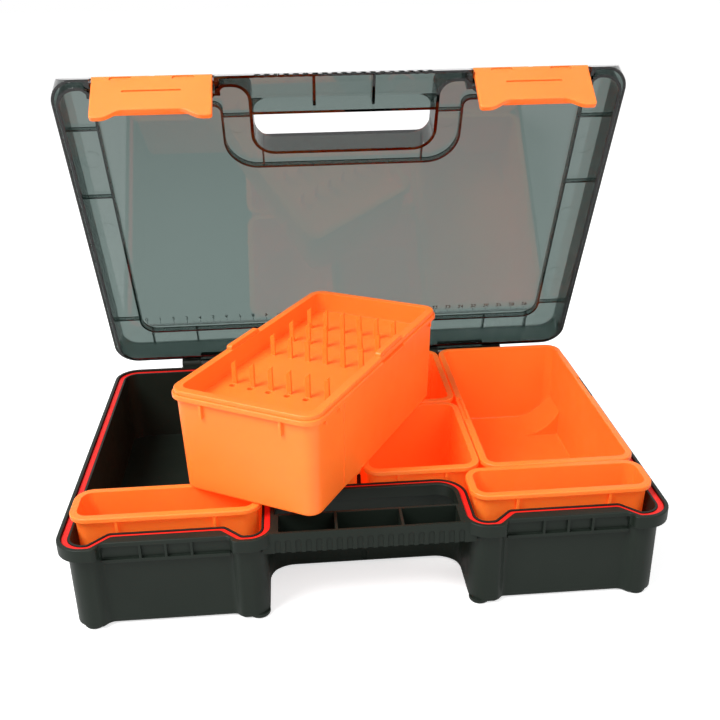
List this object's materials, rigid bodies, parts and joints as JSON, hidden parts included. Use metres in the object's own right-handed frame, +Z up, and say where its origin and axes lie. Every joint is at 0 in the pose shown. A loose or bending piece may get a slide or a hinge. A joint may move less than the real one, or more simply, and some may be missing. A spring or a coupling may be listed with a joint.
{
  "type": "tackle organizer box",
  "caption": "Tackle organizer box with a hinged clear smoke lid, latches, a front handle bar, a red rim gasket and lift-out orange bins, one with a peg tray laid across the rest.",
  "frame": {"origin": "middle of the tub's flat underside, on the surface that it stands on", "axes": "+X to the right along the front edge, +Y to the hinges, +Z up"},
  "size_m": [0.344, 0.256, 0.282],
  "materials": {
    "base_plastic": "dark grey-green, fine texture",
    "lid_plastic": "clear smoke grey",
    "bin_plastic": "satin orange, slightly translucent",
    "latch_plastic": "satin orange",
    "gasket_rubber": "soft red rubber",
    "pin_steel": "plain drawn wire"
  },
  "bodies": {
    "base": {"base_tub": "base_plastic", "gasket": "gasket_rubber", "front_left_bin": "bin_plastic", "middle_bin_front_left": "bin_plastic", "middle_bin_front_right": "bin_plastic", "middle_bin_rear_left": "bin_plastic", "middle_bin_rear_right": "bin_plastic"},
    "hinge_pins": {"hinge_pin_left": "pin_steel", "hinge_pin_right": "pin_steel"},
    "lid": {"lid_shell": "lid_plastic"},
    "latch_pin_left": {"latch_pin_left": "pin_steel"},
    "latch_pin_right": {"latch_pin_right": "pin_steel"},
    "latch_left": {"latch_left": "latch_plastic"},
    "latch_right": {"latch_right": "latch_plastic"},
    "right_bin": {"right_bin": "bin_plastic"},
    "front_right_bin": {"front_right_bin": "bin_plastic"},
    "rig_bin": {"rig_bin": "bin_plastic"},
    "rig_tray": {"rig_tray": "bin_plastic"}
  },
  "joints": [
    {"name": "lid_close", "type": "hinge", "parent": "base", "child": "hinge_pins", "pos_m": [0, 0.1245, 0.0575], "axis": [-1, 0, 0], "range_deg": [-66, 0]},
    {"name": "lid_open", "type": "hinge", "parent": "hinge_pins", "child": "lid", "pos_m": [0, 0.1245, 0.0575], "axis": [-1, 0, 0], "range_deg": [0, 49]},
    {"name": "latch_left_hang", "type": "hinge", "parent": "lid", "child": "latch_pin_left", "pos_m": [-0.11225, 0.03079, 0.27904], "axis": [-1, 0, 0], "range_deg": [0, 28]},
    {"name": "latch_left_swing", "type": "hinge", "parent": "latch_pin_left", "child": "latch_left", "pos_m": [-0.11225, 0.03079, 0.27904], "axis": [-1, 0, 0], "range_deg": [-14, 80]},
    {"name": "latch_right_hang", "type": "hinge", "parent": "lid", "child": "latch_pin_right", "pos_m": [0.11225, 0.03079, 0.27904], "axis": [-1, 0, 0], "range_deg": [0, 28]},
    {"name": "latch_right_swing", "type": "hinge", "parent": "latch_pin_right", "child": "latch_right", "pos_m": [0.11225, 0.03079, 0.27904], "axis": [-1, 0, 0], "range_deg": [-14, 80]},
    {"name": "right_bin_lift", "type": "slide", "parent": "base", "child": "right_bin", "axis": [0, 0, 1], "range_m": [0, 0.04]},
    {"name": "front_right_bin_lift", "type": "slide", "parent": "base", "child": "front_right_bin", "axis": [0, 0, 1], "range_m": [0, 0.1]},
    {"name": "rig_bin_carry", "type": "slide", "parent": "base", "child": "rig_bin", "axis": [0, 1, 0], "range_m": [-0.2801, 0]},
    {"name": "rig_tray_lift", "type": "slide", "parent": "rig_bin", "child": "rig_tray", "axis": [0, 0, 1], "range_m": [0, 0.04]}
  ],
  "couplings": [
    {"joint": "lid_close", "follows": "rig_bin_carry", "rad_per_m": 4.1125},
    {"joint": "latch_left_hang", "follows": "rig_bin_carry", "rad_per_m": -1.7447},
    {"joint": "latch_right_hang", "follows": "rig_bin_carry", "rad_per_m": -1.7447}
  ]
}
